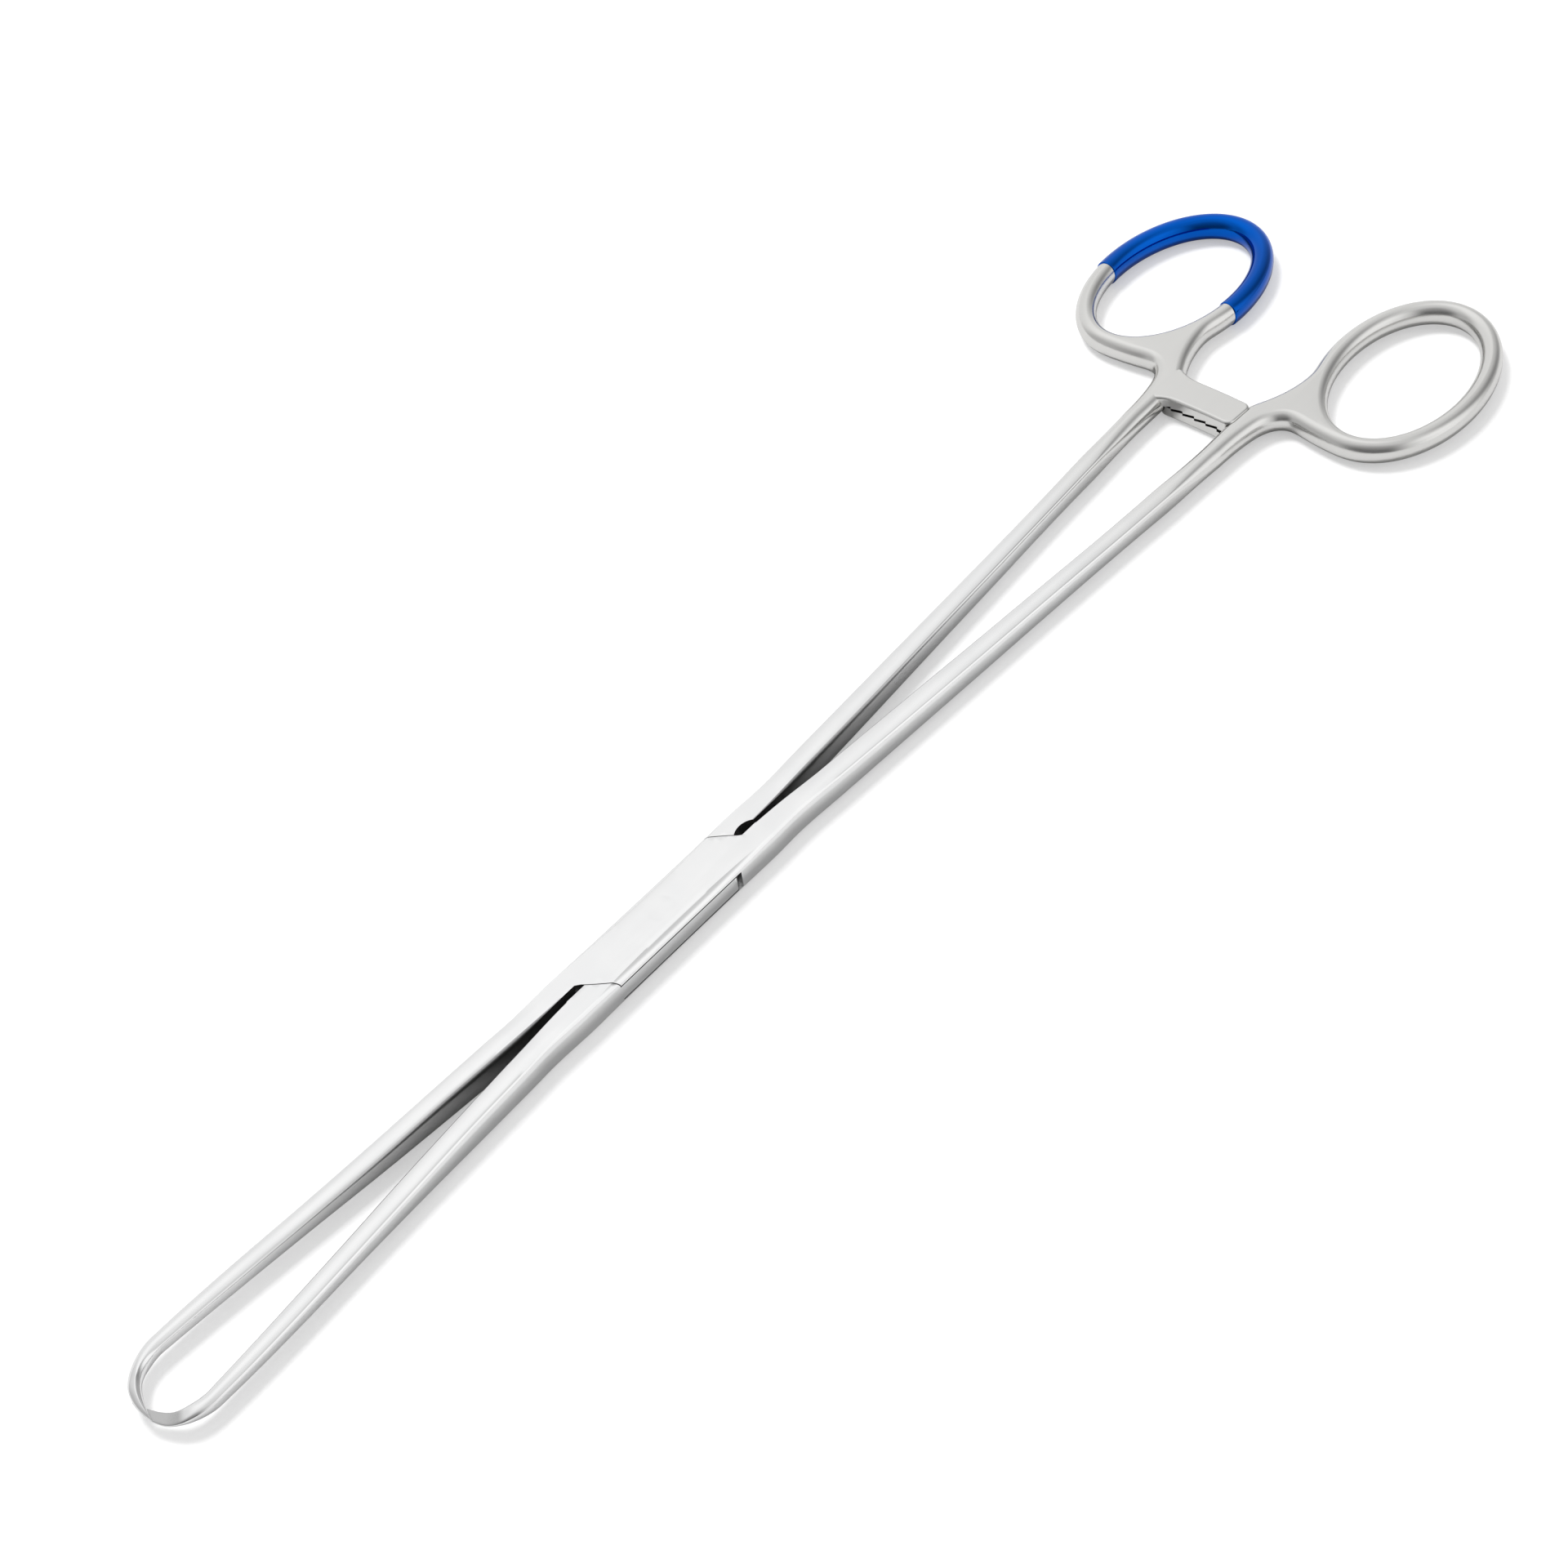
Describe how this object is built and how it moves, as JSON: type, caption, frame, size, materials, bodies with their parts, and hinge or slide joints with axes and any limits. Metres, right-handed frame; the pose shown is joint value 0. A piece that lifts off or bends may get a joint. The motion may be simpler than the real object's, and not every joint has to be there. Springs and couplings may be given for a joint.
{
  "type": "tenaculum forceps",
  "caption": "Long slender single-tooth tenaculum forceps with a box lock, crossing hooked jaws, interlocking ratchet bars and one plastic-dipped finger ring.",
  "frame": {"origin": "on the pivot axis, at the flat underside of the box lock", "axes": "+X along the instrument from the pivot to the jaw tips, +Z along the pivot axis out of the flat faces, +Y completes a right-handed frame and points to the side of the plain finger ring"},
  "size_m": [0.2497, 0.0677, 0.0047],
  "materials": {
    "instrument_steel": "polished",
    "rivet_steel": "satin",
    "dip_coat": "gloss"
  },
  "bodies": {
    "female": {"female_half": "instrument_steel", "pivot_pin": "rivet_steel"},
    "male": {"male_half": "instrument_steel", "ring_coating": "dip_coat"}
  },
  "joints": [
    {"name": "box_lock", "type": "hinge", "parent": "female", "child": "male", "pos_m": [0, 0, 0.00235], "axis": [0, 0, 1], "range_deg": [0, 45]}
  ]
}
